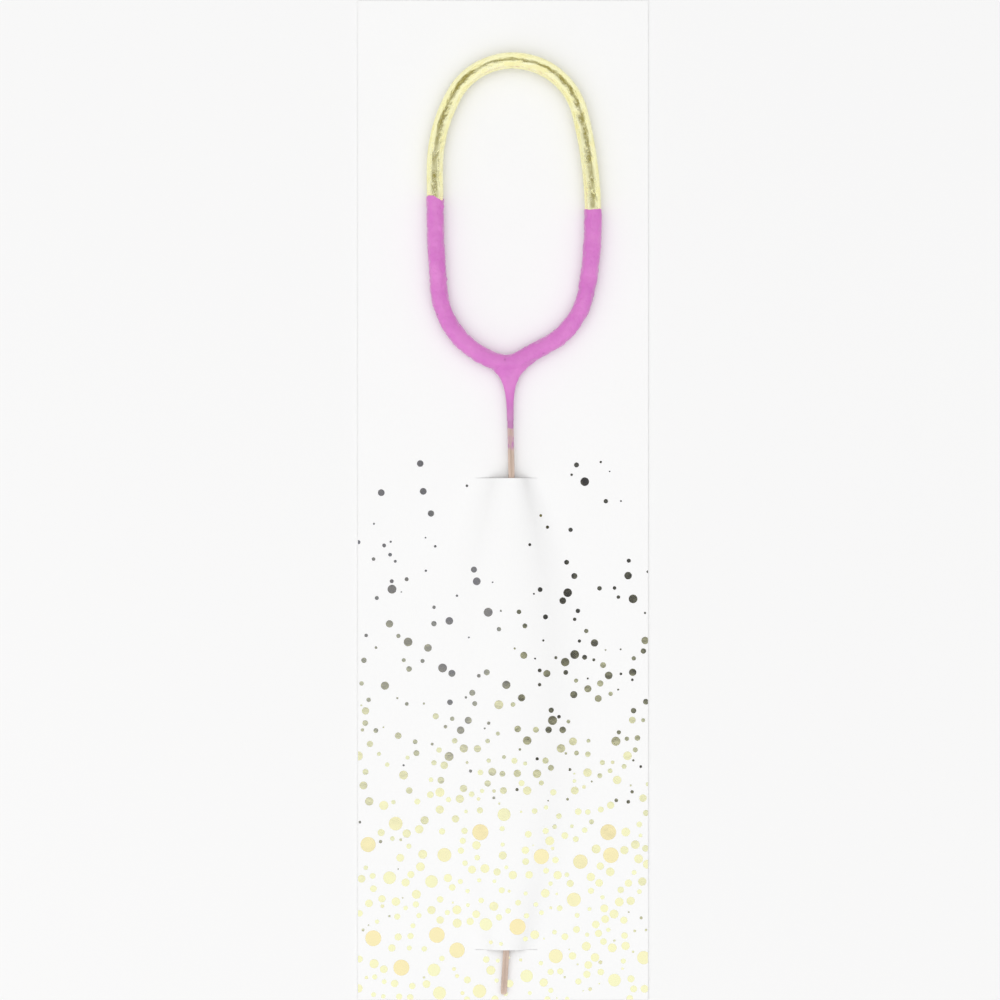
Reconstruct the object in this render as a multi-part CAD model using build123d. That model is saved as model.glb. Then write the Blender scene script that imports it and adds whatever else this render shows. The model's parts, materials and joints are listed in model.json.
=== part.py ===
from build123d import *

import os
from math import atan, cos, degrees, exp, hypot, radians, sin, sqrt

# A sparkler bent into a zero: a copper-plated wire, a crust of sparkler mix round its loop,
# a pink coat on the lower half of the crust and gold foil on the upper half. The bare stem
# is threaded through two slits of the backing card.
# The card lies on its back. +Z comes out of its printed face, +Y runs up the card to the top
# of the loop, and the origin is under the middle of the card. Millimetres.

# Card
CARD_WIDTH = 61.0
CARD_LENGTH = 210.0
CARD_THICKNESS = 0.4

# The two slits, and the strap of card between them, which bows up over the stem
SLIT_LENGTH = 13.2
SLIT_KERF = 0.2
SLIT_OFFSET = 0.7  # middle of the slits, to the right of the card's centre line
LOWER_SLIT_INSET = 10.5  # from the card's lower edge
SLIT_SPACING = 99.1
BOW_SPREAD = 38.0  # width of the bow half-way between the slits
BOW_MARGIN = 2.0  # flat card beside the bow, there
STEM_CLEARANCE = 0.2  # between the stem and the strap over it
LIE_CLEARANCE = 0.15  # to the card's face, under the tail at the lower edge and under the coat at the neck

# Wire
WIRE_DIAMETER = 1.3
TAIL_LENGTH = 9.4  # stem beyond the lower slit
TAIL_SET = 0.55  # sideways set of the tail's tip, to the left
STEM_DRIFT = 1.1  # stem at the upper slit, to the right of the slits' middle
STEM_RADIUS = 120.0  # gentle bends of the stem at the slits
NECK_HEIGHT = 23.7  # where stem and loop meet, above the upper slit
NECK_DRIFT = 0.6  # the neck, to the right of the slits' middle
NECK_RADIUS = 4.0  # bend from the stem into the right foot of the loop
WIRE_END_GAP = 2.0  # the wire's end stops this far short of the neck

# Centre line of the loop, measured from the neck
LOOP_RISE = 63.9
APEX_SHIFT = 0.7  # top of the loop, to the right of the neck
RIGHT_REACH = 17.6
RIGHT_WAIST = 30.6  # height of the widest point
LEFT_REACH = 15.6
LEFT_WAIST = 41.1
RIGHT_FOOT_LENGTH = 9.0
RIGHT_FOOT_SLOPE = 28.0
LEFT_FOOT_LENGTH = 2.4
LEFT_FOOT_SLOPE = 16.5
SADDLE_RADIUS = 5.0  # where the two feet run together in the crust

# Crust of sparkler mix and the two finishes on it
MIX_DIAMETER = 3.2
PINK_THICKNESS = 0.2
FOIL_THICKNESS = 0.1
LEFT_FOIL_HEIGHT = 35.1  # lower edge of the foil on each limb, above the neck
RIGHT_FOIL_HEIGHT = 32.8

# Flare of the crust and the pink coat into the stem
WEB_ROOT = 1.0  # the flare starts this far inside the loop
WEB_FLARE = 4.55
WEB_FALL = 3.2
WEB_DEPTH = 0.7
WEB_DEPTH_FALL = 3.0
MIX_WEB_DROP = 3.0  # where the mix ends on the stem, below the neck
FILM_DROP = 12.0  # where the pink film ends on the stem, below the neck
FILM_THICKNESS = 0.08
WEB_SECTIONS = 9

# Places on the card
wire_radius = WIRE_DIAMETER / 2
mix_radius = MIX_DIAMETER / 2
pink_radius = mix_radius + PINK_THICKNESS
foil_radius = mix_radius + FOIL_THICKNESS
film_radius = wire_radius + FILM_THICKNESS

lower_slit_y = LOWER_SLIT_INSET - CARD_LENGTH / 2
upper_slit_y = lower_slit_y + SLIT_SPACING
neck_y = upper_slit_y + NECK_HEIGHT

# The sparkler is made flat, with its axis at height 0, and then laid on the card: its tail lies
# on the card's lower edge and its coat on the card's face at the neck, so it slants a little.
tail_z = CARD_THICKNESS + LIE_CLEARANCE + wire_radius
neck_z = CARD_THICKNESS + LIE_CLEARANCE + pink_radius
lie_slope = (neck_z - tail_z) / (neck_y + CARD_LENGTH / 2)
lie = Pos(0, neck_y, neck_z) * Rot(degrees(atan(lie_slope)), 0, 0) * Pos(0, -neck_y, 0)

tail_bend = Vector(SLIT_OFFSET, lower_slit_y)
tail_tip = tail_bend - Vector(TAIL_SET, TAIL_LENGTH)
slit_bend = Vector(SLIT_OFFSET + STEM_DRIFT, upper_slit_y)
neck = Vector(SLIT_OFFSET + NECK_DRIFT, neck_y)

apex = neck + Vector(APEX_SHIFT, LOOP_RISE)
right_waist = neck + Vector(RIGHT_REACH, RIGHT_WAIST)
left_waist = neck + Vector(-LEFT_REACH, LEFT_WAIST)
right_slope = radians(RIGHT_FOOT_SLOPE)
left_slope = radians(LEFT_FOOT_SLOPE)
right_foot_way = Vector(cos(right_slope), sin(right_slope))
left_foot_way = Vector(-cos(left_slope), sin(left_slope))
right_foot = neck + right_foot_way * RIGHT_FOOT_LENGTH
left_foot = neck + left_foot_way * LEFT_FOOT_LENGTH


def biarc(start, start_way, end, end_way):
    """Two arcs, tangent to each other, from start along start_way to end along end_way."""
    span = end - start
    ways = start_way + end_way
    turn = 2 * (1 - start_way.dot(end_way))
    along = span.dot(ways)
    reach = (sqrt(along**2 + turn * span.dot(span)) - along) / turn
    first_corner = start + start_way * reach
    second_corner = end - end_way * reach
    join = (first_corner + second_corner) / 2
    join_way = second_corner - first_corner
    return [TangentArc(start, join, tangent=start_way), TangentArc(join, end, tangent=join_way)]


def loop_sides():
    """Edges of the loop's centre line: on the right from foot to apex, on the left from apex to foot."""
    up, leftward, down = Vector(0, 1), Vector(-1, 0), Vector(0, -1)
    right = biarc(right_foot, right_foot_way, right_waist, up)
    right += biarc(right_waist, up, apex, leftward)
    left = biarc(apex, leftward, left_waist, down)
    left += biarc(left_waist, down, left_foot, -left_foot_way)
    return right, left


def joined(edges):
    """One path through edges that meet end to end."""
    return Wire.combine(edges)[0]


def tube(path, radius):
    """A round bar along a path."""
    start = Plane(origin=path @ 0, z_dir=path % 0)
    return sweep(start * Circle(radius), path=path)


def make_wire(right, left):
    """The wire: tail, stem, bend into the right foot, round the loop, and its end in the left foot."""
    corners = [tail_tip, tail_bend, slit_bend, neck, right_foot]
    stem = FilletPolyline(*corners, radius=[STEM_RADIUS, STEM_RADIUS, NECK_RADIUS])
    end = neck + left_foot_way * WIRE_END_GAP
    path = joined([*stem.edges(), *right, *left, Line(left_foot, end)])
    print("wire length", round(path.length, 1))
    return tube(path, wire_radius)


def ring(right, left, radius):
    """A closed ring on the loop's centre line, with the two feet run together in a saddle."""
    saddle = FilletPolyline(right_foot, neck, left_foot, radius=[SADDLE_RADIUS]).edges()
    left_run, saddle_arc, right_run = saddle.sort_by(Axis.X)
    right_side = joined([saddle_arc, right_run, *right])
    left_side = joined([*left, left_run])
    return tube(right_side, radius) + tube(left_side, radius)


def web(inset, last_drop):
    """The flare from the loop into the stem, inset from the outside of the pink coat."""
    lean = (slit_bend.X - neck.X) / NECK_HEIGHT
    sections = []
    for step in range(WEB_SECTIONS):
        share = step / (WEB_SECTIONS - 1)
        drop = last_drop * share**1.3  # closer together near the loop
        half_width = hypot(film_radius, WEB_FLARE * exp(-drop / WEB_FALL)) - inset
        half_depth = film_radius + WEB_DEPTH * exp(-drop / WEB_DEPTH_FALL) - inset
        middle = neck + Vector(lean * drop, -drop)
        across = Plane(middle, x_dir=(1, 0, 0), z_dir=(0, -1, 0))
        sections.append(across * Ellipse(half_width, half_depth))
    root = extrude(sections[0], WEB_ROOT, dir=(0, 1, 0))
    return loft(sections) + root


def foil_edge():
    """The plane of the foil's lower edge, which faces up the loop."""
    left_point = left_waist + Vector(0, LEFT_FOIL_HEIGHT - LEFT_WAIST)
    right_point = right_waist + Vector(0, RIGHT_FOIL_HEIGHT - RIGHT_WAIST)
    along = right_point - left_point
    return Plane(left_point, x_dir=along, z_dir=Vector(-along.Y, along.X))


def stem_at(y):
    """A point on the axis of the stem as it lies, between the slits."""
    share = (y - lower_slit_y) / SLIT_SPACING
    across = tail_bend.X + (slit_bend.X - tail_bend.X) * share
    return Vector(across, y, tail_z + (y + CARD_LENGTH / 2) * lie_slope)


def bow_height(share, reach, rise):
    """Height on one flank of the bow, at a share of its reach from the crest: two equal arcs."""
    radius = (reach**2 + rise**2) / (4 * rise)
    if share <= 0.5:
        return rise - radius + sqrt(radius**2 - (share * reach) ** 2)
    return radius - sqrt(radius**2 - ((1 - share) * reach) ** 2)


def strap_section(y, width):
    """Cross-section of the strap where its bow is this wide. The crest is over the stem."""
    stem = stem_at(y)
    rise = stem.Z + wire_radius + STEM_CLEARANCE
    window = BOW_SPREAD / 2 + BOW_MARGIN

    def flank(side, lift):
        """One side of the bow: from the window's edge to the foot, and two arcs to the crest."""
        foot_x = SLIT_OFFSET + side * width / 2
        reach = abs(foot_x - stem.X)

        def on_bow(share):
            height = bow_height(share, reach, rise)
            return Vector(stem.X + side * share * reach, y, height + lift)

        return [
            Line(Vector(SLIT_OFFSET + side * window, y, lift), on_bow(1)),
            ThreePointArc(on_bow(1), on_bow(0.75), on_bow(0.5)),
            ThreePointArc(on_bow(0.5), on_bow(0.25), on_bow(0)),
        ]

    outline = []
    for side in (-1, 1):
        back = flank(side, 0)
        front = flank(side, CARD_THICKNESS)
        outline += [*back, *front, Line(back[0] @ 0, front[0] @ 0)]
    return Face(joined(outline))


def make_card():
    """The card: a flat sheet with the bowed strap let in between its two slits."""
    bottom = (Align.CENTER, Align.CENTER, Align.MIN)
    flat = Box(CARD_WIDTH, CARD_LENGTH, CARD_THICKNESS, align=bottom)
    middle_y = (upper_slit_y + lower_slit_y) / 2
    window = Box(BOW_SPREAD + 2 * BOW_MARGIN, SLIT_SPACING, CARD_THICKNESS, align=bottom)
    flat -= Pos(SLIT_OFFSET, middle_y) * window
    kerf = Box(SLIT_LENGTH, SLIT_KERF, CARD_THICKNESS, align=bottom)
    flat -= Pos(SLIT_OFFSET, upper_slit_y + SLIT_KERF / 2) * kerf
    flat -= Pos(SLIT_OFFSET, lower_slit_y - SLIT_KERF / 2) * kerf
    widths = ((lower_slit_y, SLIT_LENGTH), (middle_y, BOW_SPREAD), (upper_slit_y, SLIT_LENGTH))
    strap = loft([strap_section(y, width) for y, width in widths])
    return flat + strap


def build():
    """All pieces by name."""
    right, left = loop_sides()
    wire = make_wire(right, left)
    mix_body = ring(right, left, mix_radius) + web(PINK_THICKNESS, MIX_WEB_DROP)
    edge = foil_edge()
    coat = split(ring(right, left, pink_radius), bisect_by=edge, keep=Keep.BOTTOM)
    coat += web(0, FILM_DROP)
    foil = split(ring(right, left, foil_radius), bisect_by=edge, keep=Keep.TOP)
    return {
        "wire": lie * wire,
        "sparkler_mix": lie * (mix_body - wire),
        "pink_coat": lie * (coat - mix_body - wire),
        "gold_foil": lie * (foil - mix_body),
        "backing_card": make_card(),
    }


os.makedirs("parts", exist_ok=True)
for name, piece in build().items():
    print(name, len(piece.solids()), "solid", round(piece.volume, 2), "mm3", piece.bounding_box())
    export_step(piece, f"parts/{name}.step")
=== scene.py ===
import json
from functools import partial
from itertools import accumulate
from math import atan2, ceil, cos, exp, hypot, pi, radians, sin, sqrt
from typing import NamedTuple

import bpy
from bpy.props import FloatProperty, FloatVectorProperty, IntProperty, PointerProperty
from mathutils import Matrix, Vector, noise


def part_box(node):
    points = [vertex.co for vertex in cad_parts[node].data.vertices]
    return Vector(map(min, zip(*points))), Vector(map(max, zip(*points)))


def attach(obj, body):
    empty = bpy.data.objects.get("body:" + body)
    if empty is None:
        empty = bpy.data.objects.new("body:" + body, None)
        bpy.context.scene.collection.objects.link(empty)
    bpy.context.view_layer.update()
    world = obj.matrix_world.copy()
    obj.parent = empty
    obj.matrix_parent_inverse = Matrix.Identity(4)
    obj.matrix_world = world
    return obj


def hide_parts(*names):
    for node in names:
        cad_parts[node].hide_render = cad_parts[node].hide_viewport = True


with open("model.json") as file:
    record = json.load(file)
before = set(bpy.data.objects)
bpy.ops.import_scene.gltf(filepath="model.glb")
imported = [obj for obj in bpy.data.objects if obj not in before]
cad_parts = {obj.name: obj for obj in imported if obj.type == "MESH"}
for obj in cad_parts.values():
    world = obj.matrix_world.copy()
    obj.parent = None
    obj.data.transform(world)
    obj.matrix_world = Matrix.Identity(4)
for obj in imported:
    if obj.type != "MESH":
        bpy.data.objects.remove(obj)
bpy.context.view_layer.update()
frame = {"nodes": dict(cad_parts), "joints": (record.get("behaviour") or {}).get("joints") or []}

bl_info = {
    "name": "Sparkler on its card",
    "version": (1, 0, 0),
    "blender": (4, 5, 0),
    "location": "3D View > Sidebar > Sparkler",
    "description": "Dresses a zero-shaped sparkler and the backing card that it is threaded through",
    "category": "Object",
}

# Points of the sparkler are given flat, in the plane of its loop, and laid on the card afterwards.
MM = 0.001
card_low, card_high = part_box("backing_card")
slide_way = Vector(frame["joints"][0]["axis"])


def length(description, size):
    """A property for a length in millimetres."""
    return FloatProperty(description=description, default=size * MM, unit="LENGTH", precision=5)


def steepness(description, degrees):
    """A property for a slope in degrees."""
    return FloatProperty(description=description, default=radians(degrees), subtype="ANGLE")


def colour(description, value):
    """A property for a colour."""
    tint = (*value, 1)
    return FloatVectorProperty(description=description, default=tint, subtype="COLOR", size=4, min=0, max=1)


def share(description, value):
    """A property for a number from 0 up."""
    return FloatProperty(description=description, default=value, min=0)


class WireSizes(bpy.types.PropertyGroup):
    """The bent wire: its stem, and its loop as measured from the neck."""

    diameter: length("Thickness of the wire", 1.3)
    tail_length: length("Stem beyond the lower slit", 9.4)
    tail_set: length("Set of the tail's tip to the left", 0.55)
    stem_drift: length("Stem at the upper slit, right of the slits' middle", 1.1)
    stem_radius: length("Gentle bends of the stem at the slits", 120.0)
    neck_height: length("The neck, above the upper slit", 23.7)
    neck_drift: length("The neck, right of the slits' middle", 0.6)
    neck_radius: length("Bend from the stem into the right foot", 4.0)
    end_gap: length("From the neck to the wire's end", 2.0)
    loop_rise: length("Height of the loop's top", 63.9)
    apex_shift: length("Top of the loop, right of the neck", 0.7)
    right_reach: length("Widest point on the right", 17.6)
    right_waist: length("Height of the widest point on the right", 30.6)
    left_reach: length("Widest point on the left", 15.6)
    left_waist: length("Height of the widest point on the left", 41.1)
    right_foot: length("Straight run from the neck to the right", 9.0)
    right_foot_slope: steepness("Slope of the right foot", 28)
    left_foot: length("Straight run from the neck to the left", 2.4)
    left_foot_slope: steepness("Slope of the left foot", 16.5)
    saddle_radius: length("Bend of the coat where the feet meet", 5.0)
    lump_size: length("Spacing of slight dents", 2.5)
    lump_height: length("Depth of those dents", 0.012)
    tint: colour("Clean plating of the wire", (0.82, 0.64, 0.53))
    tarnish: colour("Dull patches of the wire", (0.55, 0.43, 0.37))


class CoatSizes(bpy.types.PropertyGroup):
    """The pink dip coat on the loop's lower half, the neck and the stem's top."""

    diameter: length("Thickness of the coated loop", 3.6)
    left_edge: length("Left end of the coat, above the neck", 35.1)
    right_edge: length("Right end of the coat, above the neck", 32.8)
    ragged: length("How uneven the coat's ends are", 0.6)
    slant: length("Slant of the coat's left end", 0.55)
    root: length("How far the web starts inside the loop", 1.6)
    flare: length("Spread of the web at the neck", 4.55)
    flare_fall: length("Length over which the web narrows", 3.2)
    depth: length("Extra depth of the web at the neck", 0.7)
    depth_fall: length("Length over which the web thins", 3.0)
    film: length("Thickness of the film on the stem", 0.08)
    film_drop: length("Where the film ends, below the neck", 12.0)
    voxel: length("Size of the mesh that joins loop and web", 0.14)
    lump_size: length("Spacing of the coat's lumps", 3.4)
    lump_height: length("Height of the coat's lumps", 0.24)
    crease_size: length("Spacing of the ripples where the coat ran", 1.9)
    crease_height: length("Height of those ripples", 0.13)
    nodule_spacing: length("Spacing of the grains caught in the coat", 4.6)
    nodule_height: length("Height of those grains", 0.3)
    pit_spacing: length("Spacing of the coat's pinholes", 2.8)
    pit_depth: length("Depth of those pinholes", 0.12)
    calm_drop: length("Where the coat turns smooth, below the neck", 5.0)
    tint: colour("Most of the coat", (0.61, 0.125, 0.525))
    pale: colour("Where the coat is thick and chalky", (0.71, 0.2, 0.6))
    # Painted shade: a darker pink laid in the pinholes
    deep: colour("In the pinholes", (0.36, 0.08, 0.30))
    thin: colour("Where the wire shows through the film", (0.47, 0.25, 0.41))


class FoilSizes(bpy.types.PropertyGroup):
    """The gold foil wrapped round the upper half of the loop."""

    diameter: length("Thickness of the wrapped loop", 3.4)
    tuck: length("How far the foil goes under the coat", 1.3)
    draw_in: length("How far it is drawn in there", 0.12)
    lump_size: length("Spacing of the foil's lumps", 4.0)
    lump_height: length("Height of the foil's lumps", 0.03)
    crease_size: length("Spacing of the foil's creases", 1.9)
    crease_height: length("Height of the foil's creases", 0.045)
    crease_stretch: share("How close the creases lie along the loop", 0.35)
    tint: colour("Most of the foil", (0.985, 0.95, 0.51))
    worn: colour("Where the lacquer is rubbed thin", (0.995, 0.98, 0.72))
    # Painted shade: a darker gold laid in the crinkles' hollows
    deep: colour("In the crinkles", (0.88, 0.79, 0.33))


class CardSizes(bpy.types.PropertyGroup):
    """The backing card, its two slits and the strap between them."""

    thickness: length("Thickness of the board", 0.4)
    slit_length: length("Length of each slit", 13.2)
    slit_kerf: length("Gap of each slit", 0.06)
    slit_offset: length("Slits' middle, right of the card's middle", 0.7)
    slit_inset: length("Lower slit, from the card's lower edge", 10.5)
    slit_spacing: length("From one slit to the other", 99.1)
    bow_spread: length("Width of the strap's bow half-way down it", 38.0)
    lie_clearance: length("Clearance under the sparkler", 0.15)
    stem_clearance: length("Clearance over the stem", 0.2)
    front: colour("Coated white front of the board", (0.90, 0.90, 0.895))
    edge: colour("Cut edge of the board", (0.81, 0.81, 0.8))
    back: colour("Uncoated back of the board", (0.74, 0.725, 0.69))


class DotSizes(bpy.types.PropertyGroup):
    """The gold dots printed on the card, crowded at its foot."""

    small: length("Diameter of a small dot", 0.8)
    middle: length("Diameter of a middle dot", 1.55)
    large: length("Diameter of a large dot", 3.1)
    top: length("Where the dots start, below the neck", 18.5)
    bare: length("Strip without dots below the upper slit", 7.0)
    trim: length("Margin at the card's edges", 0.02)
    lift: length("Thickness of the printed foil", 0.02)
    seed: IntProperty(description="Layout of the dots", default=7)
    lemon: colour("One end of the dots' tones", (0.955, 0.975, 0.63))
    peach: colour("The other end of the dots' tones", (0.975, 0.86, 0.5))


class StageSizes(bpy.types.PropertyGroup):
    """Camera, table and light."""

    lens: FloatProperty(description="Focal length", default=180.0, unit="CAMERA")
    aim_x: length("Picture's middle, right of the card's middle", -0.63)
    view_height: length("Height that the picture takes in", 210.0)
    fill: share("Even light from all round", 1.1)
    key: share("Power of the soft lamp at the lower left", 1.7)
    key_size: length("Side of the soft lamp", 1200.0)
    low_tint: colour("Colour of the even light low down", (1.0, 0.965, 0.915))
    high_tint: colour("Colour of the even light overhead", (0.98, 0.985, 1.0))
    key_tint: colour("Colour of the soft lamp", (1.0, 0.985, 0.955))
    table: colour("Plain pale table", (0.88, 0.88, 0.875))


# Places on the card and in the plane of the loop


def slit_heights(card):
    """Y of the lower and the upper slit."""
    lower = card_low.y + card.slit_inset
    return lower, lower + card.slit_spacing


class Layout:
    """Points of the sparkler, flat in the plane of its loop."""

    def __init__(self, scene):
        card, wire = scene.sparkler_card, scene.sparkler_wire
        lower, upper = slit_heights(card)
        self.tail_bend = Vector((card.slit_offset, lower))
        self.tail_tip = self.tail_bend - Vector((wire.tail_set, wire.tail_length))
        self.slit_bend = Vector((card.slit_offset + wire.stem_drift, upper))
        self.neck = Vector((card.slit_offset + wire.neck_drift, upper + wire.neck_height))
        self.apex = self.neck + Vector((wire.apex_shift, wire.loop_rise))
        self.right_waist = self.neck + Vector((wire.right_reach, wire.right_waist))
        self.left_waist = self.neck + Vector((-wire.left_reach, wire.left_waist))
        slope = wire.right_foot_slope
        self.right_way = Vector((cos(slope), sin(slope)))
        slope = wire.left_foot_slope
        self.left_way = Vector((-cos(slope), sin(slope)))
        self.right_foot = self.neck + self.right_way * wire.right_foot
        self.left_foot = self.neck + self.left_way * wire.left_foot
        self.slope = slide_way.z / slide_way.y
        self.neck_z = card.thickness + card.lie_clearance + scene.sparkler_coat.diameter / 2

    def laid(self, point, height):
        """Where a flat point, at a height over the loop's plane, lies on the card."""
        tilt = Vector((1, self.slope)).normalized()
        along = point.y - self.neck.y
        y = self.neck.y + along * tilt.x - height * tilt.y
        return Vector((point.x, y, self.neck_z + along * tilt.y + height * tilt.x))

    def stem_at(self, y):
        """Axis of the stem as it lies, between the slits."""
        part = (y - self.tail_bend.y) / (self.slit_bend.y - self.tail_bend.y)
        x = self.tail_bend.x + (self.slit_bend.x - self.tail_bend.x) * part
        return Vector((x, y, self.neck_z + (y - self.neck.y) * self.slope))


def arc(start, way, end, step):
    """Points on the arc that leaves start along way, up to end but without it."""
    chord = end - start
    half_turn = atan2(way.cross(chord), way.dot(chord))
    if abs(half_turn) < 1e-6:
        return line(start, end, step)
    radius = chord.length / (2 * sin(half_turn))
    centre = start + Vector((-way.y, way.x)) * radius
    count = ceil(abs(2 * half_turn * radius) / step)
    return [centre + Matrix.Rotation(2 * half_turn * i / count, 2) @ (start - centre) for i in range(count)]


def line(start, end, step):
    """Points on a straight run, without the last one."""
    count = ceil((end - start).length / step)
    return [start.lerp(end, i / count) for i in range(count)]


def biarc(start, start_way, end, end_way, step):
    """Points on two arcs, tangent to each other, from start to end."""
    span = end - start
    turn = 2 * (1 - start_way.dot(end_way))
    along = span.dot(start_way + end_way)
    reach = (sqrt(along**2 + turn * span.dot(span)) - along) / turn
    first_corner = start + start_way * reach
    second_corner = end - end_way * reach
    join = (first_corner + second_corner) / 2
    join_way = (second_corner - first_corner).normalized()
    return arc(start, start_way, join, step) + arc(join, join_way, end, step)


def rounded(corners, radii, step):
    """Points on straight runs between corners, with an arc at each inner one."""
    points = []
    start = corners[0]
    for corner, following, radius in zip(corners[1:-1], corners[2:], radii):
        way_in = (corner - start).normalized()
        way_out = (following - corner).normalized()
        half_turn = abs(atan2(way_in.cross(way_out), way_in.dot(way_out))) / 2
        cut = radius * sin(half_turn) / cos(half_turn)
        points += line(start, corner - way_in * cut, step)
        points += arc(corner - way_in * cut, way_in, corner + way_out * cut, step)
        start = corner + way_out * cut
    return points + line(start, corners[-1], step)


def loop_points(at, step):
    """Centre line of the loop, from the right foot over the top to the left foot."""
    up, leftward, down = Vector((0, 1)), Vector((-1, 0)), Vector((0, -1))
    points = biarc(at.right_foot, at.right_way, at.right_waist, up, step)
    points += biarc(at.right_waist, up, at.apex, leftward, step)
    points += biarc(at.apex, leftward, at.left_waist, down, step)
    return points + biarc(at.left_waist, down, at.left_foot, -at.left_way, step)


def loop_halves(scene, at, step):
    """Centre lines of the coated lower half and of the upper half wrapped in foil."""
    coat = scene.sparkler_coat
    left = Vector((at.left_waist.x, at.neck.y + coat.left_edge))
    right = Vector((at.right_waist.x, at.neck.y + coat.right_edge))
    loop = loop_points(at, step)
    above = [i for i, point in enumerate(loop) if (right - left).cross(point - left) > 0]
    saddle = rounded([at.left_foot, at.neck, at.right_foot], [scene.sparkler_wire.saddle_radius], step)
    tuck = round(scene.sparkler_foil.tuck / step)
    lower_half = loop[above[-1] :] + saddle + loop[: above[0]]
    return lower_half, loop[above[0] - tuck : above[-1] + tuck]


# Meshes


def ring_mesh(name, at, centres, widths, depths, sides, ragged=0.0, slant=0.0):
    """A closed bar along flat centres, with a half-width and a half-depth at each. Ragged ends are uneven,
    and the first may slant. Its wrap attribute holds coordinates that follow it: two across, one along."""
    steps = [b - a for a, b in zip(centres[:-1], centres[1:])]
    ways = [step.normalized() for step in steps]
    ways.append(ways[-1])
    runs = list(accumulate((step.length for step in steps), initial=0.0))
    run = runs[-1]
    ends_reach = 2 * max(ragged, MM)
    points, wraps = [], []
    for centre, way, width, depth, passed in zip(centres, ways, widths, depths, runs):
        across = Vector((-way.y, way.x))
        near_end = max(0.0, 1 - min(passed, run - passed) / ends_reach)
        first = passed < run / 2
        for side in range(sides):
            angle = 2 * pi * side / sides
            wobble = noise.noise((2 * cos(angle) + centre.x / MM, 2 * sin(angle), 0.3 * run / MM))
            along = slant * cos(angle) - ragged * wobble if first else ragged * wobble
            place = centre + across * width * cos(angle) + way * near_end * along
            points.append(at.laid(place, depth * sin(angle)))
            wraps += [width * cos(angle), depth * sin(angle), passed]
    rows = len(centres)
    faces = [list(range(sides))[::-1], list(range((rows - 1) * sides, rows * sides))]
    for row in range(rows - 1):
        for side in range(sides):
            following = (side + 1) % sides
            low, high = row * sides, (row + 1) * sides
            faces.append([low + side, low + following, high + following, high + side])
    mesh = bpy.data.meshes.new(name)
    mesh.from_pydata(points, [], faces)
    mesh.attributes.new("wrap", "FLOAT_VECTOR", "POINT").data.foreach_set("vector", wraps)
    return mesh


def add_object(name, mesh):
    """An object at the origin that shows this mesh."""
    made = bpy.data.objects.new(name, mesh)
    bpy.context.scene.collection.objects.link(made)
    return made


def join_meshes(name, meshes):
    """One mesh out of several."""
    points, faces = [], []
    for mesh in meshes:
        first = len(points)
        points += [vertex.co.copy() for vertex in mesh.vertices]
        faces += [[first + i for i in face.vertices] for face in mesh.polygons]
        bpy.data.meshes.remove(mesh)
    joined = bpy.data.meshes.new(name)
    joined.from_pydata(points, [], faces)
    return joined


def settle(made):
    """Turns an object's modifiers into its plain mesh."""
    graph = bpy.context.evaluated_depsgraph_get()
    mesh = bpy.data.meshes.new_from_object(
        made.evaluated_get(graph), preserve_all_data_layers=True, depsgraph=graph
    )
    made.modifiers.clear()
    made.data = mesh
    mesh.name = made.name
    mesh.shade_smooth()


# Node trees

JOINED = (bpy.types.Node, bpy.types.NodeSocket)
SOCKETS = {float: "NodeSocketFloat", int: "NodeSocketInt", tuple: "NodeSocketVector"}


def join(source, end):
    """Leads a socket, or a node's first output, to an input."""
    start = source.outputs[0] if isinstance(source, bpy.types.Node) else source
    source.id_data.links.new(start, end)


def node(tree, kind, inputs=None, **settings):
    """A node with its settings, and its inputs set to values or joined to other nodes."""
    made = tree.nodes.new(kind)
    for name, value in settings.items():
        setattr(made, name, value)
    for key, value in (inputs or {}).items():
        if isinstance(value, JOINED):
            join(value, made.inputs[key])
        else:
            made.inputs[key].default_value = value
    return made


def calc(operation, *operands):
    """A Math node on values, at least one of them a node's."""
    tree = next(value.id_data for value in operands if isinstance(value, JOINED))
    return node(tree, "ShaderNodeMath", dict(enumerate(operands)), operation=operation)


plus = partial(calc, "ADD")
minus = partial(calc, "SUBTRACT")
times = partial(calc, "MULTIPLY")


def vector_calc(operation, first, *second):
    """A Vector Math node. The second value is a number when it scales."""
    inputs = {0: first}
    for value in second:
        inputs["Scale" if operation == "SCALE" else 1] = value
    return node(first.id_data, "ShaderNodeVectorMath", inputs, operation=operation)


def axes(vector):
    """The three parts of a vector."""
    return node(vector.id_data, "ShaderNodeSeparateXYZ", {0: vector}).outputs


def mapped(value, low, high, to_low=0.0, to_high=1.0):
    """A value eased from one range to another."""
    inputs = {0: value, 1: low, 2: high, 3: to_low, 4: to_high}
    return node(value.id_data, "ShaderNodeMapRange", inputs, interpolation_type="SMOOTHSTEP")


def blended(part, first, second):
    """Two colours mixed by a share."""
    inputs = {0: part, 6: first, 7: second}
    return node(part.id_data, "ShaderNodeMix", inputs, data_type="RGBA").outputs[2]


def clouds(place, size, **inputs):
    """Noise with patches of this size, from 0 to 1."""
    inputs |= {"Vector": place, "Scale": calc("DIVIDE", 1.0, size)}
    return node(place.id_data, "ShaderNodeTexNoise", inputs)


def specks(place, spacing, low, high, number, chance):
    """Round specks, fading from low to high, in the cells that one of their random numbers chooses."""
    inputs = {"Vector": place, "Scale": calc("DIVIDE", 1.0, spacing)}
    cells = node(place.id_data, "ShaderNodeTexVoronoi", inputs).outputs
    chosen = calc("LESS_THAN", axes(cells["Color"])[number], chance)
    return times(mapped(cells["Distance"], low, high, 1.0, 0.0), chosen)


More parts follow.
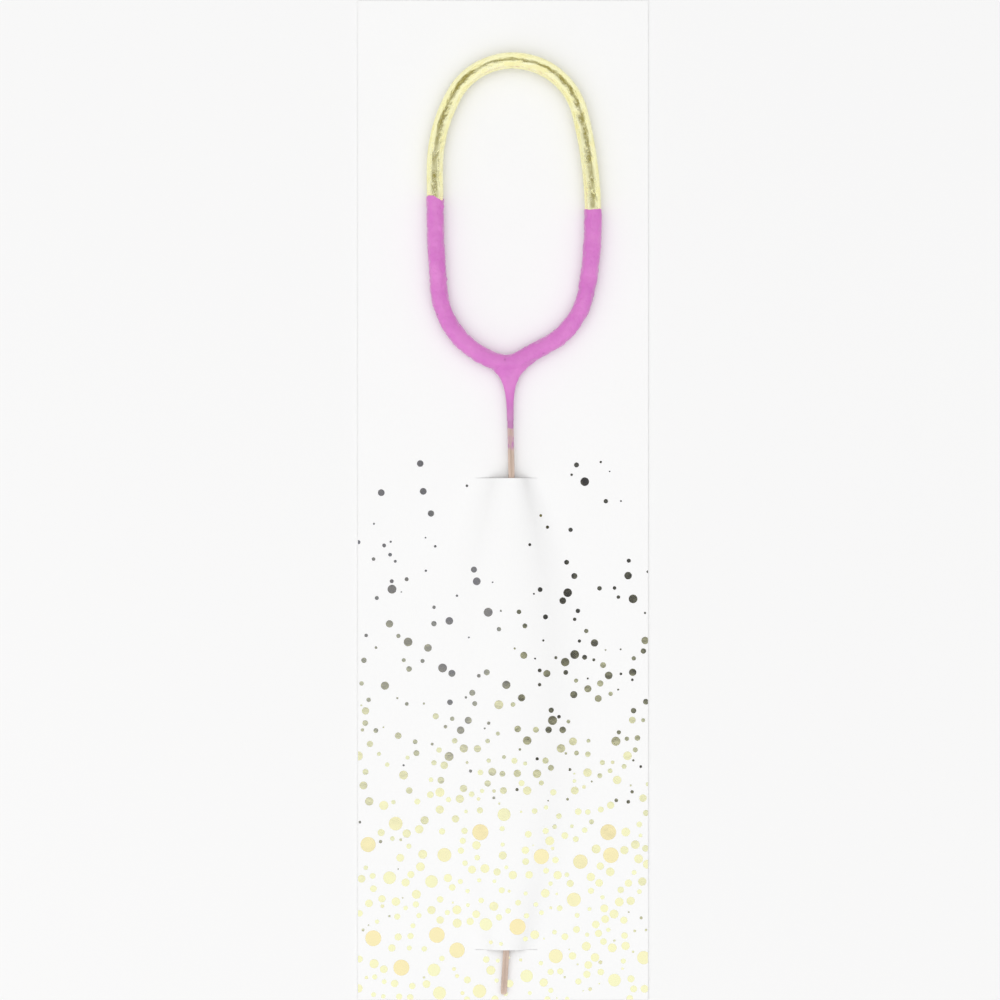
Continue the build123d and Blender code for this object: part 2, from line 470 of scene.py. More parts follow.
def new_tree(name, kind, output, **inputs):
    """A node group with one output and named inputs, each a default or a socket's type."""
    tree = bpy.data.node_groups.new(name, kind)
    tree.interface.new_socket("Result", in_out="OUTPUT", socket_type=output)
    for key, value in inputs.items():
        label = key.replace("_", " ").title()
        socket_type = SOCKETS.get(type(value), value)
        socket = tree.interface.new_socket(label, in_out="INPUT", socket_type=socket_type)
        if socket_type != value:
            socket.default_value = value
    given = tree.nodes.new("NodeGroupInput").outputs
    result = tree.nodes.new("NodeGroupOutput").inputs
    return tree, given, result


def shared_tree(name, build):
    """A node group, built once."""
    return bpy.data.node_groups.get(name) or build(name)


def add_tree(made, tree, settings, **values):
    """A geometry nodes modifier. Its inputs take these values, or the settings of the same name."""
    modifier = made.modifiers.new(tree.name, "NODES")
    modifier.node_group = tree
    for socket in tree.interface.items_tree:
        key = socket.name.lower().replace(" ", "_")
        value = values.get(key, getattr(settings, key, None))
        if socket.in_out == "INPUT" and value is not None:
            modifier[socket.identifier] = value


def stored(geometry, name, value, domain="POINT"):
    """Geometry that keeps a number under a name."""
    settings = {"data_type": "FLOAT", "domain": domain}
    inputs = {"Geometry": geometry, "Name": name, "Value": value}
    return node(geometry.id_data, "GeometryNodeStoreNamedAttribute", inputs, **settings)


def random_value(seed, low, high):
    """A random number for each element."""
    inputs = {2: low, 3: high, "Seed": seed}
    return node(seed.id_data, "FunctionNodeRandomValue", inputs, data_type="FLOAT").outputs[1]


def put_out(geometry, given, result):
    """Gives a tree's geometry its material and puts it out."""
    tree = geometry.id_data
    painted = node(tree, "GeometryNodeSetMaterial", {0: geometry, "Material": given["Material"]})
    join(painted, result[0])
    return tree


def uneven_skin(name):
    """Tree that raises lumps, creases and nodules on a skin, and sinks and marks pinholes."""
    tree, given, result = new_tree(
        name,
        "GeometryNodeTree",
        "NodeSocketGeometry",
        geometry="NodeSocketGeometry",
        lump_size=4 * MM,
        lump_height=0.0,
        crease_size=1.5 * MM,
        crease_height=0.0,
        crease_stretch=1.0,
        calm_height=-1.0,
        nodule_spacing=5 * MM,
        nodule_height=0.0,
        pit_spacing=3 * MM,
        pit_depth=0.0,
        material="NodeSocketMaterial",
    )
    position = node(tree, "GeometryNodeInputPosition")
    wrap = node(tree, "GeometryNodeInputNamedAttribute", {"Name": "wrap"}, data_type="FLOAT_VECTOR")
    choice = {"Switch": wrap.outputs["Exists"], "False": position, "True": wrap}
    place = node(tree, "GeometryNodeSwitch", choice, input_type="VECTOR")
    normal = node(tree, "GeometryNodeInputNormal")
    lump = minus(clouds(place, given["Lump Size"], Detail=3.0), 0.5)
    lump = times(lump, times(given["Lump Height"], 2.0))
    stretch = node(tree, "ShaderNodeCombineXYZ", {0: 1.0, 1: 1.0, 2: given["Crease Stretch"]})
    along = vector_calc("MULTIPLY", place, stretch)
    creases = clouds(along, given["Crease Size"], Detail=2.0, Distortion=0.4)
    folded = calc("ABSOLUTE", minus(creases, 0.5))
    crease = times(minus(0.5, times(folded, 6.0)), given["Crease Height"])
    nodule = times(specks(place, given["Nodule Spacing"], 0.02, 0.17, 1, 0.6), given["Nodule Height"])
    pit = specks(place, given["Pit Spacing"], 0.05, 0.12, 0, 0.25)
    # The stem's film, and the underside, which lies along the card, are almost smooth
    calm = 0.1
    above = minus(axes(position)[1], given["Calm Height"])
    lively = mapped(above, 0.0, 4 * MM, calm, 1.0)
    lively = times(lively, mapped(axes(normal)[2], -0.6, 0.0, calm, 1.0))
    rough = times(plus(plus(lump, crease), nodule), lively)
    raised = minus(rough, times(pit, given["Pit Depth"]))
    # The pink paint reads these marks to lay painted shade in the pinholes
    marked = stored(given["Geometry"], "pinhole", pit)
    inputs = {0: marked, "Offset": vector_calc("SCALE", normal, raised)}
    return put_out(node(tree, "GeometryNodeSetPosition", inputs), given, result)


class DotKind(NamedTuple):
    """One size of dots."""

    name: str
    # Where it is strewn: a base share that grows to a full one between two parts of the way down
    base: float
    growth: tuple
    # Distance from the slits, spacing, and least and most size, in diameters
    keep_off: float
    spacing: float
    sizes: tuple
    # Most dots per square metre
    density: int
    # Ranges of the tones and leans
    tones: tuple
    leans: tuple
    # Sides and refinement of its disc
    sides: int
    refinement: int


DOT_KINDS = (
    DotKind("Large", 0.0, (0.64, 0.74), 0.7, 1.5, (0.85, 1.1), 12000, (0.2, 1.0), (0.0, 0.002), 24, 1),
    DotKind("Middle", 0.07, (0.04, 0.95), 1, 1.25, (0.5, 1.25), 270000, (0.0, 0.3), (-0.004, 0.007), 18, 0),
    DotKind("Small", 0.2, (0.0, 0.45), 1, 1.5, (0.4, 1.1), 42000, (0.0, 0.3), (-0.004, 0.022), 9, 0),
)


def dot_print(name):
    """Tree that strews dots over a sheet, by its share of each kind, and drapes them on it."""
    tree, given, result = new_tree(
        name,
        "GeometryNodeTree",
        "NodeSocketGeometry",
        geometry="NodeSocketGeometry",
        small=0.6 * MM,
        middle=1.5 * MM,
        large=3 * MM,
        lift=0.01 * MM,
        half_width=30 * MM,
        foot=-100 * MM,
        seed=0,
        material="NodeSocketMaterial",
    )
    sheet = given["Geometry"]
    layers = node(tree, "GeometryNodeJoinGeometry")
    clearance = 0.62
    larger = []
    for order, kind in enumerate(DOT_KINDS):
        size = given[kind.name]
        inputs = {"Name": kind.name + " share"}
        crowd = node(tree, "GeometryNodeInputNamedAttribute", inputs, data_type="FLOAT")
        seed = plus(given["Seed"], float(order))
        inputs = {
            "Mesh": sheet,
            "Distance Min": times(size, kind.spacing),
            "Density Max": kind.density,
            "Density Factor": crowd,
            "Seed": seed,
        }
        points = node(tree, "GeometryNodeDistributePointsOnFaces", inputs, distribute_method="POISSON")
        # A smaller dot keeps clear of the larger ones
        for larger_points, larger_size in larger:
            near = node(tree, "GeometryNodeProximity", {0: larger_points}, target_element="POINTS")
            clear = times(plus(size, larger_size), clearance)
            touches = calc("LESS_THAN", near.outputs["Distance"], clear)
            points = node(tree, "GeometryNodeDeleteGeometry", {0: points, 1: touches})
        larger.append((points, size))
        inputs = {"Vertices": kind.sides, "Radius": times(size, 0.5)}
        disc = node(tree, "GeometryNodeMeshCircle", inputs, fill_type="TRIANGLE_FAN")
        disc = node(tree, "GeometryNodeSubdivideMesh", {0: disc, "Level": kind.refinement})
        inputs = {"Points": points, "Instance": disc, "Scale": random_value(seed, *kind.sizes)}
        dots = node(tree, "GeometryNodeInstanceOnPoints", inputs)
        dots = stored(dots, "tone", random_value(seed, *kind.tones), "INSTANCE")
        lean_seed = plus(seed, float(len(DOT_KINDS)))
        dots = stored(dots, "lean", random_value(lean_seed, *kind.leans), "INSTANCE")
        join(dots, layers.inputs[0])
    real = node(tree, "GeometryNodeRealizeInstances", {0: layers})
    # Dots at the card's edges are cut off there
    x, y, _ = axes(node(tree, "GeometryNodeInputPosition"))
    half = given["Half Width"]
    x = calc("MINIMUM", calc("MAXIMUM", x, times(half, -1.0)), half)
    y = calc("MAXIMUM", y, given["Foot"])
    over = 20 * MM
    inputs = {
        "Target Geometry": sheet,
        "Source Position": node(tree, "ShaderNodeCombineXYZ", {0: x, 1: y, 2: over}),
        "Ray Direction": (0, 0, -1),
        "Ray Length": 2 * over,
    }
    hit = node(tree, "GeometryNodeRaycast", inputs).outputs
    lift = vector_calc("SCALE", hit["Hit Normal"], given["Lift"])
    inputs = {0: real, "Position": vector_calc("ADD", hit["Hit Position"], lift)}
    laid = node(tree, "GeometryNodeSetPosition", inputs)
    # The cut leaves slivers that have no width
    split = node(tree, "GeometryNodeTriangulate", {0: laid})
    least_area = 1e-10
    sliver = calc("LESS_THAN", node(tree, "GeometryNodeInputMeshFaceArea"), least_area)
    whole = node(tree, "GeometryNodeDeleteGeometry", {0: split, 1: sliver}, domain="FACE")
    return put_out(whole, given, result)


# Materials


def build_mottle(name):
    """Group that gives a soft patchy value over the surface, from 0 to 1."""
    inputs = {"place": (0, 0, 0), "stretch": (1, 1, 1), "size": 3 * MM, "contrast": 1.0}
    tree, given, result = new_tree(name, "ShaderNodeTree", "NodeSocketFloat", **inputs)
    place = vector_calc("MULTIPLY", given["Place"], given["Stretch"])
    spread = times(minus(clouds(place, given["Size"], Detail=4.0), 0.5), given["Contrast"])
    join(node(tree, "ShaderNodeClamp", {0: plus(spread, 0.5)}), result[0])
    return tree


def mottle(place, size, contrast=1.0, stretch=(1, 1, 1)):
    """Patches of this size over a material's surface."""
    inputs = {"Place": place, "Stretch": stretch, "Size": size, "Contrast": contrast}
    group = shared_tree("Mottle", build_mottle)
    return node(place.id_data, "ShaderNodeGroup", inputs, node_tree=group)


def object_place(tree):
    """Coordinates of the object."""
    return node(tree, "ShaderNodeTexCoord").outputs["Object"]


def attribute(tree, name, kind="Fac"):
    """A number, or a vector, that the mesh keeps under a name."""
    return node(tree, "ShaderNodeAttribute", attribute_name=name).outputs[kind]


def new_material(name, **values):
    """A material with one Principled shader, its values set by name."""
    made = bpy.data.materials.new(name)
    made.use_nodes = True
    tree = made.node_tree
    shader = tree.nodes["Principled BSDF"].inputs
    for key, value in values.items():
        shader[key.replace("_", " ")].default_value = value
    return made, tree, shader


def lead(shader, **sources):
    """Leads nodes to a shader's inputs, named in the same way."""
    for key, source in sources.items():
        join(source, shader[key.replace("_", " ")])


def add_bump(shader, height, depth):
    """Fine relief, at most this high."""
    bump = node(height.id_data, "ShaderNodeBump", {"Strength": 1.0, "Distance": depth, "Height": height})
    lead(shader, Normal=bump)
    return bump


def pink_paint(coat, film_end):
    """Satin pink dip paint: chalky where thick, with painted shade in its pinholes, dull where the film
    runs out.
    """
    sheen = {"Sheen_Weight": 0.3, "Sheen_Roughness": 0.45}
    made, tree, shader = new_material("pink_dip_paint", Specular_IOR_Level=0.8, **sheen)
    place = object_place(tree)
    streaks = mottle(place, 1.2 * MM, contrast=1.6)
    tint = blended(mottle(place, 5 * MM, contrast=2.6), coat.tint, coat.pale)
    tint = blended(times(streaks, 0.25), tint, coat.pale)
    # Painted shade in the pinholes, by their marks
    tint = blended(times(attribute(tree, "pinhole"), 0.55), tint, coat.deep)
    thin = mapped(axes(place)[1], film_end - 0.5 * MM, film_end + 6 * MM, 0.65, 0.0)
    thin = times(thin, mapped(streaks, 0.1, 0.7, 0.55, 1.0))
    tint = blended(thin, tint, coat.thin)
    lead(shader, Base_Color=tint, Roughness=mapped(streaks, 0.0, 1.0, 0.32, 0.48))
    add_bump(shader, mottle(place, 0.6 * MM, contrast=1.5), 0.04 * MM)
    return made


def gold_leaf(foil):
    """Gold foil: creased metal, rubbed paler here and there, with painted shade in the hollows of its
    crinkles.
    """
    made, tree, shader = new_material("gold_foil_leaf", Metallic=1.0)
    place = attribute(tree, "wrap", "Vector")
    drawn_out = (1, 1, 0.5)
    rubbed = mottle(place, 2 * MM, 2.0, drawn_out)
    crinkle = mottle(place, 1 * MM, 2.0, drawn_out)
    tint = blended(times(rubbed, 0.6), foil.tint, foil.worn)
    # Painted shade where the crinkle relief is low
    tint = blended(mapped(crinkle, 0.2, 0.6, 0.3, 0.0), tint, foil.deep)
    lead(shader, Base_Color=tint, Roughness=mapped(crinkle, 0.0, 1.0, 0.2, 0.33))
    grain = times(mottle(place, 0.4 * MM, contrast=1.8), 0.12)
    add_bump(shader, plus(crinkle, grain), 0.1 * MM)
    return made


def copper_plating(scene, at):
    """Drawn copper plating, dull in patches, with shreds of the pink film."""
    wire, coat = scene.sparkler_wire, scene.sparkler_coat
    made, tree, shader = new_material("copper_plated_wire")
    along = attribute(tree, "wrap", "Vector")
    drawn = mottle(along, 0.5 * MM, 1.8, (1, 1, 0.06))
    patches = mottle(along, 3 * MM, 2.5, (1, 1, 0.6))
    dull = times(plus(drawn, patches), 0.5)
    # The film runs out, leaves a stained stretch and ends in shreds
    torn = mottle(along, 1.1 * MM, 3.0, (1, 1, 0.5))
    ragged = plus(axes(object_place(tree))[1], times(torn, 0.9 * MM))
    end = at.neck.y - coat.film_drop
    run_out = mapped(ragged, end - 1.2 * MM, end - 0.8 * MM)
    shreds = mapped(ragged, end - 5.4 * MM, end - 4.2 * MM)
    shreds = times(shreds, mapped(ragged, end - 3 * MM, end - 2.4 * MM, 1.0, 0.35))
    shreds = times(shreds, mapped(torn, 0.3, 0.6, 0.4, 0.95))
    film = calc("MAXIMUM", run_out, shreds)
    film_tint = [0.35 * full + 0.65 * thin for full, thin in zip(coat.tint, coat.thin)]
    tint = blended(dull, wire.tint, wire.tarnish)
    tint = blended(film, tint, film_tint)
    lead(shader, Base_Color=tint, Metallic=times(minus(1.0, film), 0.8))
    lead(shader, Roughness=mapped(dull, 0.0, 1.0, 0.34, 0.6))
    add_bump(shader, plus(drawn, film), 0.02 * MM)
    return made


def grey_mix():
    """Gritty grey crust of sparkler mix."""
    made, tree, shader = new_material("sparkler_mix_crust")
    grit = mottle(object_place(tree), 0.4 * MM, contrast=2.5)
    dark, light = (0.10, 0.10, 0.105, 1), (0.30, 0.30, 0.31, 1)
    tint = blended(grit, dark, light)
    lead(shader, Base_Color=tint, Roughness=mapped(grit, 0.0, 1.0, 0.6, 0.9))
    add_bump(shader, grit, 0.08 * MM)
    return made


def board(name, tint, roughness, relief, flecks):
    """One face of the card: fine fibres, and stray dark ones where it is uncoated."""
    made, tree, shader = new_material(name, Specular_IOR_Level=0.3)
    place = object_place(tree)
    cloud = mottle(place, 12 * MM, contrast=1.4)
    fibres = mottle(place, 0.4 * MM, 1.6, (1, 0.35, 1))
    strays = mapped(mottle(place, 0.9 * MM, 2.2, (0.5, 1, 1)), 0.72, 0.9, 0.0, flecks)
    shade = calc("MAXIMUM", times(plus(cloud, fibres), 0.04 + 0.2 * flecks), strays)
    darker = [0.7 * value for value in tint]
    lead(shader, Base_Color=blended(shade, tint, darker))
    lead(shader, Roughness=mapped(fibres, 0.0, 1.0, roughness, roughness + 0.12))
    add_bump(shader, fibres, relief)
    return made


def dot_foil(dots):
    """Pressed gold foil of the dots, each of its own tone, slightly dented."""
    made, tree, shader = new_material("printed_gold_dots", Metallic=1.0)
    place = object_place(tree)
    dents = mottle(place, 2.5 * MM, contrast=1.2)
    tint = blended(attribute(tree, "tone"), dots.lemon, dots.peach)
    lead(shader, Base_Color=tint, Roughness=mapped(dents, 0.0, 1.0, 0.05, 0.1))
    # Stiff foil: each dot lies flatter than the strap under it and, lower down, leans a little
    slope = node(tree, "ShaderNodeNewGeometry").outputs["Normal"]
    lean = times(attribute(tree, "lean"), mapped(axes(place)[1], -45 * MM, -12 * MM, 1.0, 0.0))
    upright = 4.0
    pull = node(tree, "ShaderNodeCombineXYZ", {1: times(lean, upright + 1), 2: upright})
    flatter = vector_calc("NORMALIZE", vector_calc("ADD", slope, pull))
    bump = add_bump(shader, dents, 0.007 * MM)
    join(flatter, bump.inputs["Normal"])
    return made


# Card sheet


def bow_height(part, reach, rise):
    """Height on one flank of the bow, of two equal arcs, at a part of its reach."""
    radius = (reach**2 + rise**2) / (4 * rise)
    if part <= 0.5:
        return rise - radius + sqrt(radius**2 - (part * reach) ** 2)
    return radius - sqrt(radius**2 - ((1 - part) * reach) ** 2)


def strap_height(scene, at, x, y):
    """Rise of the strap above the flat card, over the stem and beside it."""
    card = scene.sparkler_card
    lower, upper = slit_heights(card)
    part = (y - lower) / (upper - lower)
    width = card.slit_length + (card.bow_spread - card.slit_length) * 4 * part * (1 - part)
    stem = at.stem_at(y)
    side = 1 if x > stem.x else -1
    reach = abs(card.slit_offset + side * width / 2 - stem.x)
    away = abs(x - stem.x) / reach
    if away >= 1:
        return 0.0
    return bow_height(away, reach, stem.z + scene.sparkler_wire.diameter / 2 + card.stem_clearance)


def spaced(low, high, step):
    """Even values from low to high, about a step apart."""
    count = ceil((high - low) / step)
    return [low + (high - low) * i / count for i in range(count + 1)]


def front_sheet(scene, at):
    """Front face of the card as a sheet that is open at the two slits."""
    card = scene.sparkler_card
    lower, upper = slit_heights(card)
    slit_left = card.slit_offset - card.slit_length / 2
    slit_right = card.slit_offset + card.slit_length / 2
    side_step, slit_step, row_step, bare_step = 0.6 * MM, 0.3 * MM, 0.8 * MM, 1.5 * MM
    columns = spaced(card_low.x, slit_left, side_step)
    columns += spaced(slit_left, slit_right, slit_step)[1:]
    columns += spaced(slit_right, card_high.x, side_step)[1:]
    zones = (
        spaced(card_low.y, lower - card.slit_kerf, row_step),
        spaced(lower, upper, row_step),
        spaced(upper + card.slit_kerf, card_high.y, bare_step),
    )
    points, faces = [], []
    last_row = None
    for zone, heights in enumerate(zones):
        for order, y in enumerate(heights):
            row = []
            for x in columns:
                in_slit = slit_left < x < slit_right
                if order == 0 and last_row and not in_slit:
                    row.append(last_row[len(row)])
                    continue
                z = card.thickness
                if zone == 1:
                    z += strap_height(scene, at, x, y)
                row.append(len(points))
                points.append((x, y, z))
            if order:
                for i in range(len(columns) - 1):
                    faces.append((last_row[i], last_row[i + 1], row[i + 1], row[i]))
            last_row = row
    mesh = bpy.data.meshes.new("card_front")
    mesh.from_pydata(points, [], faces)
    return mesh


def dot_share(scene, kind, point, top, reach):
    """How crowded a kind of dots is at a point: more so lower down, and none by a slit."""
    card, dots = scene.sparkler_card, scene.sparkler_dots
    down = (top - point.y) / (top - card_low.y)
    if down <= 0:
        return 0.0
    if abs(point.x - card.slit_offset) < card.slit_length / 2 + reach:
        lower, upper = slit_heights(card)
        if abs(point.y - lower) < reach or point.y > upper - dots.bare:
            return 0.0
    low, high = kind.growth
    part = min(max((down - low) / (high - low), 0), 1)
    return kind.base + (1 - kind.base) * part**2 * (3 - 2 * part)


# Operators


class Maker:
    """What the operators share: each makes one piece or the stage."""

    def execute(self, context):
        self.make(context.scene, Layout(context.scene))
        return {"FINISHED"}


def finish_piece(made, body, slot, *nodes):
    """The piece rides on a body and stands for the solids named, which it hides. The slot is not used."""
    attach(made, body)
    if nodes:
        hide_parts(*nodes)


class SPARKLER_OT_wire(Maker, bpy.types.Operator):
    """Make the bent wire with its rounded tip"""

    bl_idname = "sparkler.wire"
    bl_label = "Copper wire"

    def make(self, scene, at):
        wire = scene.sparkler_wire
        step, sides = 0.4 * MM, 24
        radius = wire.diameter / 2
        corners = [at.tail_tip, at.tail_bend, at.slit_bend, at.neck, at.right_foot]
        centres = rounded(corners, [wire.stem_radius, wire.stem_radius, wire.neck_radius], step)
        centres += loop_points(at, step)
        centres += line(at.left_foot, at.neck + at.left_way * wire.end_gap, step)
        tip_rows, tip_length, tip_least = 5, 0.6 * radius, 0.25
        tip_way = (at.tail_bend - at.tail_tip).normalized()
        tip_turns = [pi / 2 * i / tip_rows for i in range(tip_rows)]
        tip = [at.tail_tip + tip_way * tip_length * (1 - cos(turn)) for turn in tip_turns]
        tip_sizes = [radius * (tip_least + (1 - tip_least) * sin(turn)) for turn in tip_turns]
        body = [centre for centre in centres if (centre - at.tail_tip).length > tip_length]
        sizes = tip_sizes + [radius] * len(body)
        mesh = ring_mesh("copper_wire", at, tip + body, sizes, sizes, sides)
        made = add_object("copper_wire", mesh)
        add_tree(made, shared_tree("Uneven skin", uneven_skin), wire, material=copper_plating(scene, at))
        settle(made)
        finish_piece(made, "sparkler", "wire", "wire")


class SPARKLER_OT_coat(Maker, bpy.types.Operator):
    """Make the pink coat on the loop, with the web at the neck and the film on the stem"""

    bl_idname = "sparkler.coat"
    bl_label = "Pink coat"

    def make(self, scene, at):
        coat, wire = scene.sparkler_coat, scene.sparkler_wire
        step, sides = 0.15 * MM, 48
        lower_half, _ = loop_halves(scene, at, step)
        sizes = [coat.diameter / 2] * len(lower_half)
        loop = ring_mesh("coat_loop", at, lower_half, sizes, sizes, sides, coat.ragged, coat.slant)
        film_radius = wire.diameter / 2 + coat.film
        lean = (at.slit_bend - at.neck).normalized()
        stem = line(at.neck - lean * coat.root, at.neck + lean * coat.film_drop, step)
        drops = [max(0.0, (centre - at.neck).dot(lean)) for centre in stem]
        # Above the neck the web spreads on until it lies along the loop
        spread = 1.15
        rises = [spread * max(0.0, (at.neck - centre).dot(lean)) for centre in stem]
        widths = [
            hypot(film_radius, coat.flare * exp(-drop / coat.flare_fall)) + rise
            for drop, rise in zip(drops, rises)
        ]
        depths = [film_radius + coat.depth * exp(-drop / coat.depth_fall) for drop in drops]
        web = ring_mesh("coat_web", at, stem, widths, depths, sides, coat.ragged)
        made = add_object("pink_dip_coat", join_meshes("pink_dip_coat", [loop, web]))
        fuse = made.modifiers.new("Run together", "REMESH")
        fuse.mode = "VOXEL"
        fuse.voxel_size = coat.voxel
        smooth = made.modifiers.new("Smooth", "SMOOTH")
        smooth.factor = 0.5
        smooth.iterations = 8
        add_tree(
            made,
            shared_tree("Uneven skin", uneven_skin),
            coat,
            calm_height=at.neck.y - coat.calm_drop,
            material=pink_paint(coat, at.neck.y - coat.film_drop),
        )
        settle(made)
        finish_piece(made, "sparkler", "pink", "pink_coat")


class SPARKLER_OT_foil(Maker, bpy.types.Operator):
    """Make the creased gold foil round the upper half of the loop"""

    bl_idname = "sparkler.foil"
    bl_label = "Gold foil"

    def make(self, scene, at):
        foil = scene.sparkler_foil
        step, sides = 0.13 * MM, 72
        _, upper_half = loop_halves(scene, at, step)
        # Drawn in where it goes under the coat
        last = len(upper_half) - 1
        under = [max(0.0, 1 - min(row, last - row) * step / foil.tuck) for row in range(last + 1)]
        sizes = [foil.diameter / 2 - foil.draw_in * part for part in under]
        mesh = ring_mesh("gold_foil_wrap", at, upper_half, sizes, sizes, sides)
        made = add_object("gold_foil_wrap", mesh)
        add_tree(made, shared_tree("Uneven skin", uneven_skin), foil, material=gold_leaf(foil))
        settle(made)
        finish_piece(made, "sparkler", "gold", "gold_foil")


class SPARKLER_OT_mix(Maker, bpy.types.Operator):
    """Give the crust of sparkler mix under the coat and the foil its grit"""

    bl_idname = "sparkler.mix"
    bl_label = "Sparkler mix"

    def make(self, scene, at):
        mesh = frame["nodes"]["sparkler_mix"].data
        mesh.materials.clear()
        mesh.materials.append(grey_mix())


class SPARKLER_OT_card(Maker, bpy.types.Operator):
    """Make the card, with the strap between its slits bowed up over the stem"""

    bl_idname = "sparkler.card"
    bl_label = "Backing card"

    def make(self, scene, at):
        card = scene.sparkler_card
        made = add_object("card_sheet", front_sheet(scene, at))
        front = board("card_front", card.front, roughness=0.42, relief=0.008 * MM, flecks=0.0)
        edge = board("card_edge", card.edge, roughness=0.8, relief=0.02 * MM, flecks=0.3)
        back = board("card_back", card.back, roughness=0.75, relief=0.02 * MM, flecks=0.6)
        for material in (front, edge, back):
            made.data.materials.append(material)
        thick = made.modifiers.new("Board", "SOLIDIFY")
        thick.thickness = card.thickness
        thick.offset = -1
        thick.material_offset_rim = 1
        thick.material_offset = 2
        settle(made)
        made.data.set_sharp_from_angle(angle=radians(50))
        finish_piece(made, "card", "card", "backing_card")


class SPARKLER_OT_dots(Maker, bpy.types.Operator):
    """Print the gold dots on the card"""

    bl_idname = "sparkler.dots"
    bl_label = "Gold dots"

    def make(self, scene, at):
        dots = scene.sparkler_dots
        made = add_object("dot_print", front_sheet(scene, at))
        top = at.neck.y - dots.top
        for kind in DOT_KINDS:
            reach = kind.keep_off * getattr(dots, kind.name.lower())
            shares = made.data.attributes.new(kind.name + " share", "FLOAT", "POINT")
            for vertex, value in zip(made.data.vertices, shares.data):
                value.value = dot_share(scene, kind, vertex.co, top, reach)
        add_tree(
            made,
            shared_tree("Dot print", dot_print),
            dots,
            half_width=card_high.x - dots.trim,
            foot=card_low.y + dots.trim,
            material=dot_foil(dots),
        )
        settle(made)
        finish_piece(made, "card", "gold")


class SPARKLER_OT_stage(Maker, bpy.types.Operator):
    """Set up the camera, the table and the light"""

    bl_idname = "sparkler.stage"
    bl_label = "Stage"

    def make(self, scene, at):
        stage = scene.sparkler_stage
        scene.view_settings.view_transform = "Standard"
        add_camera(scene, stage)
        add_table(stage)
        add_key_lamp(stage)
        scene.world = studio_world(stage)


# Stage


def add_camera(scene, stage):
    """The camera, straight over the card."""
    lens = bpy.data.cameras.new("camera")
    lens.lens = stage.lens
    camera = add_object("camera", lens)
    distance = stage.view_height * lens.lens / lens.sensor_width
    camera.location = (stage.aim_x, 0, distance + card_high.z / 2)
    scene.camera = camera


def add_table(stage):
    """The pale table under the card."""
    reach, gap = 1.5, 0.05 * MM
    corners = [(-reach, -reach, -gap), (reach, -reach, -gap), (reach, reach, -gap), (-reach, reach, -gap)]
    mesh = bpy.data.meshes.new("table")
    mesh.from_pydata(corners, [], [(0, 1, 2, 3)])
    made, tree, shader = new_material("pale_table", Roughness=0.9, Specular_IOR_Level=0.1)
    darker = [0.985 * value for value in stage.table]
    lead(shader, Base_Color=blended(mottle(object_place(tree), 0.25), stage.table, darker))
    mesh.materials.append(made)
    add_object("table", mesh)


def add_key_lamp(stage):
    """One large soft lamp at the lower left."""
    lamp = bpy.data.lights.new("key_lamp", "AREA")
    lamp.size = stage.key_size
    lamp.energy = stage.key
    lamp.color = stage.key_tint[:3]
    made = add_object("key_lamp", lamp)
    made.visible_glossy = False
    made.location = (-0.5, -0.6, 0.7)
    made.rotation_euler = (-made.location).to_track_quat("-Z", "Y").to_euler()


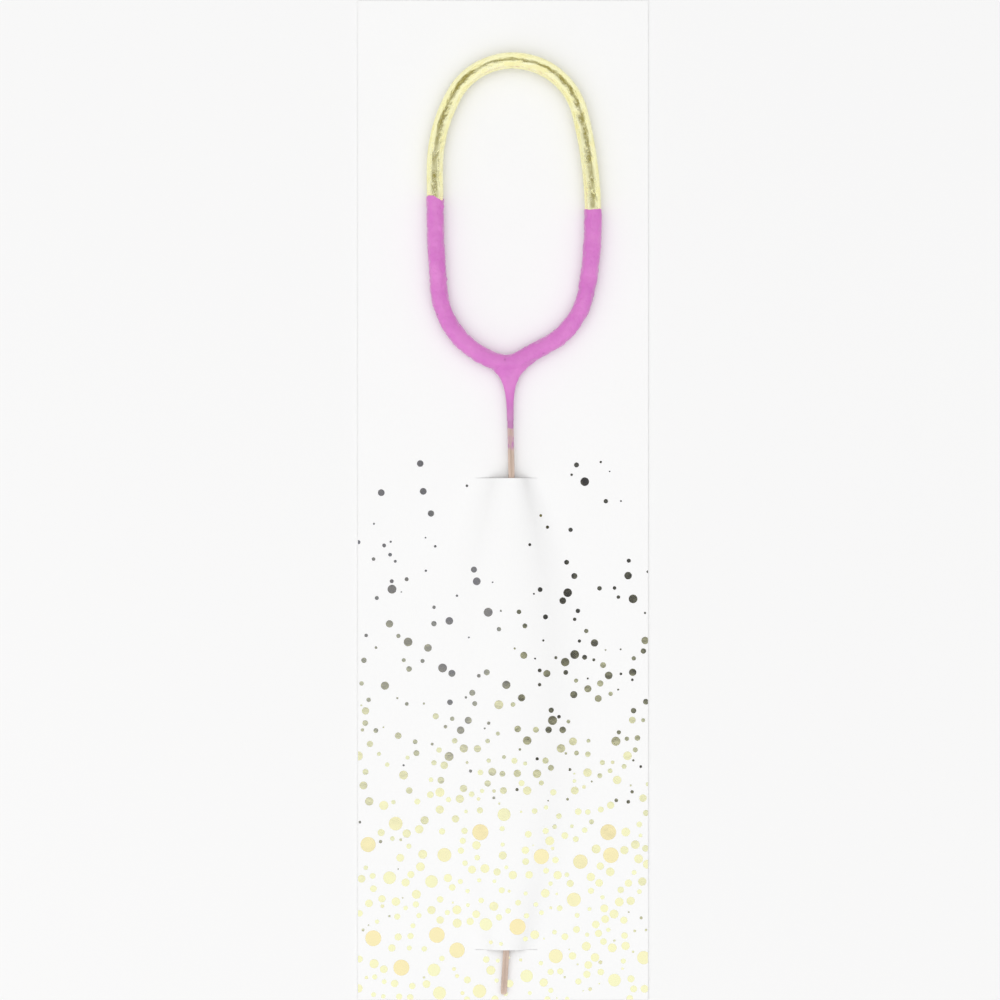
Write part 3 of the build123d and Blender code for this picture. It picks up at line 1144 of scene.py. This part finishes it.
def studio_world(stage):
    """Even light all round, a white surround, and a dark panel overhead that only metal shows."""
    world = bpy.data.worlds.new("studio")
    world.use_nodes = True
    tree = world.node_tree
    tree.nodes.clear()
    white = (1, 1, 1, 1)
    rays = node(tree, "ShaderNodeLightPath").outputs
    x, y, z = axes(node(tree, "ShaderNodeTexCoord").outputs["Generated"])
    beside = calc("ABSOLUTE", x)
    # A broad panel with a narrow wing on each side along its near edge
    broad = times(mapped(beside, 0.5, 0.66, 1.0, 0.0), mapped(y, 0.45, 0.6, 1.0, 0.0))
    wings = times(mapped(beside, 0.9, 0.99, 1.0, 0.0), mapped(y, 0.02, 0.05, 1.0, 0.0))
    near = plus(y, mapped(beside, 0.03, 0.14, 0.0, 0.014))
    panel = times(calc("MAXIMUM", broad, wings), mapped(near, -0.064, -0.021))
    panel = times(panel, calc("GREATER_THAN", z, 0.0))
    left, right, far = (0.2, 0.2, 0.36, 1), (0.035, 0.035, 0.065, 1), (0.27, 0.235, 0.06, 1)
    panel_tint = blended(mapped(x, -0.035, 0.025), left, right)
    panel_tint = blended(mapped(y, 0.02, 0.06), panel_tint, far)
    mirrored = blended(panel, white, panel_tint)
    # The even light is strongest overhead and warmer low down
    sky = blended(mapped(z, 0.0, 0.9), stage.low_tint, stage.high_tint)
    overhead = times(calc("POWER", calc("MAXIMUM", z, 0.0), 3.0), 1.45)
    strength = times(plus(overhead, 0.35), stage.fill)
    light = node(tree, "ShaderNodeBackground", {0: sky, 1: strength})
    surround = node(tree, "ShaderNodeBackground", {0: mirrored, 1: 1.0})
    seen = node(tree, "ShaderNodeBackground", {0: white, 1: 1.0})
    lit = node(tree, "ShaderNodeMixShader", {0: rays["Is Glossy Ray"], 1: light, 2: surround})
    whole = node(tree, "ShaderNodeMixShader", {0: rays["Is Camera Ray"], 1: lit, 2: seen})
    node(tree, "ShaderNodeOutputWorld", {0: whole})
    return world


# Panel and registration


class SPARKLER_PT_panel(bpy.types.Panel):
    """Lists the sparkler's pieces and sizes."""

    bl_label = "Sparkler"
    bl_idname = "SPARKLER_PT_panel"
    bl_space_type = "VIEW_3D"
    bl_region_type = "UI"
    bl_category = "Sparkler"

    def draw(self, context):
        for operator in OPERATORS:
            self.layout.operator(operator.bl_idname)
        for name, group in GROUPS.items():
            box = self.layout.box()
            settings = getattr(context.scene, name)
            for key in group.__annotations__:
                box.prop(settings, key, text=key.replace("_", " ").capitalize())


GROUPS = {
    "sparkler_wire": WireSizes,
    "sparkler_coat": CoatSizes,
    "sparkler_foil": FoilSizes,
    "sparkler_card": CardSizes,
    "sparkler_dots": DotSizes,
    "sparkler_stage": StageSizes,
}
OPERATORS = (
    SPARKLER_OT_wire,
    SPARKLER_OT_coat,
    SPARKLER_OT_foil,
    SPARKLER_OT_mix,
    SPARKLER_OT_card,
    SPARKLER_OT_dots,
    SPARKLER_OT_stage,
)


def register():
    """Registers the sizes, the operators and the panel."""
    for name, group in GROUPS.items():
        bpy.utils.register_class(group)
        setattr(bpy.types.Scene, name, PointerProperty(type=group))
    for operator in (*OPERATORS, SPARKLER_PT_panel):
        bpy.utils.register_class(operator)


def unregister():
    """Takes them away again."""
    for operator in (SPARKLER_PT_panel, *reversed(OPERATORS)):
        bpy.utils.unregister_class(operator)
    for name, group in GROUPS.items():
        delattr(bpy.types.Scene, name)
        bpy.utils.unregister_class(group)


def main():
    """Registers the add-on and makes every piece and the stage."""
    register()
    bpy.ops.sparkler.wire()
    bpy.ops.sparkler.coat()
    bpy.ops.sparkler.foil()
    bpy.ops.sparkler.mix()
    bpy.ops.sparkler.card()
    bpy.ops.sparkler.dots()
    bpy.ops.sparkler.stage()


if __name__ == "__main__":
    main()
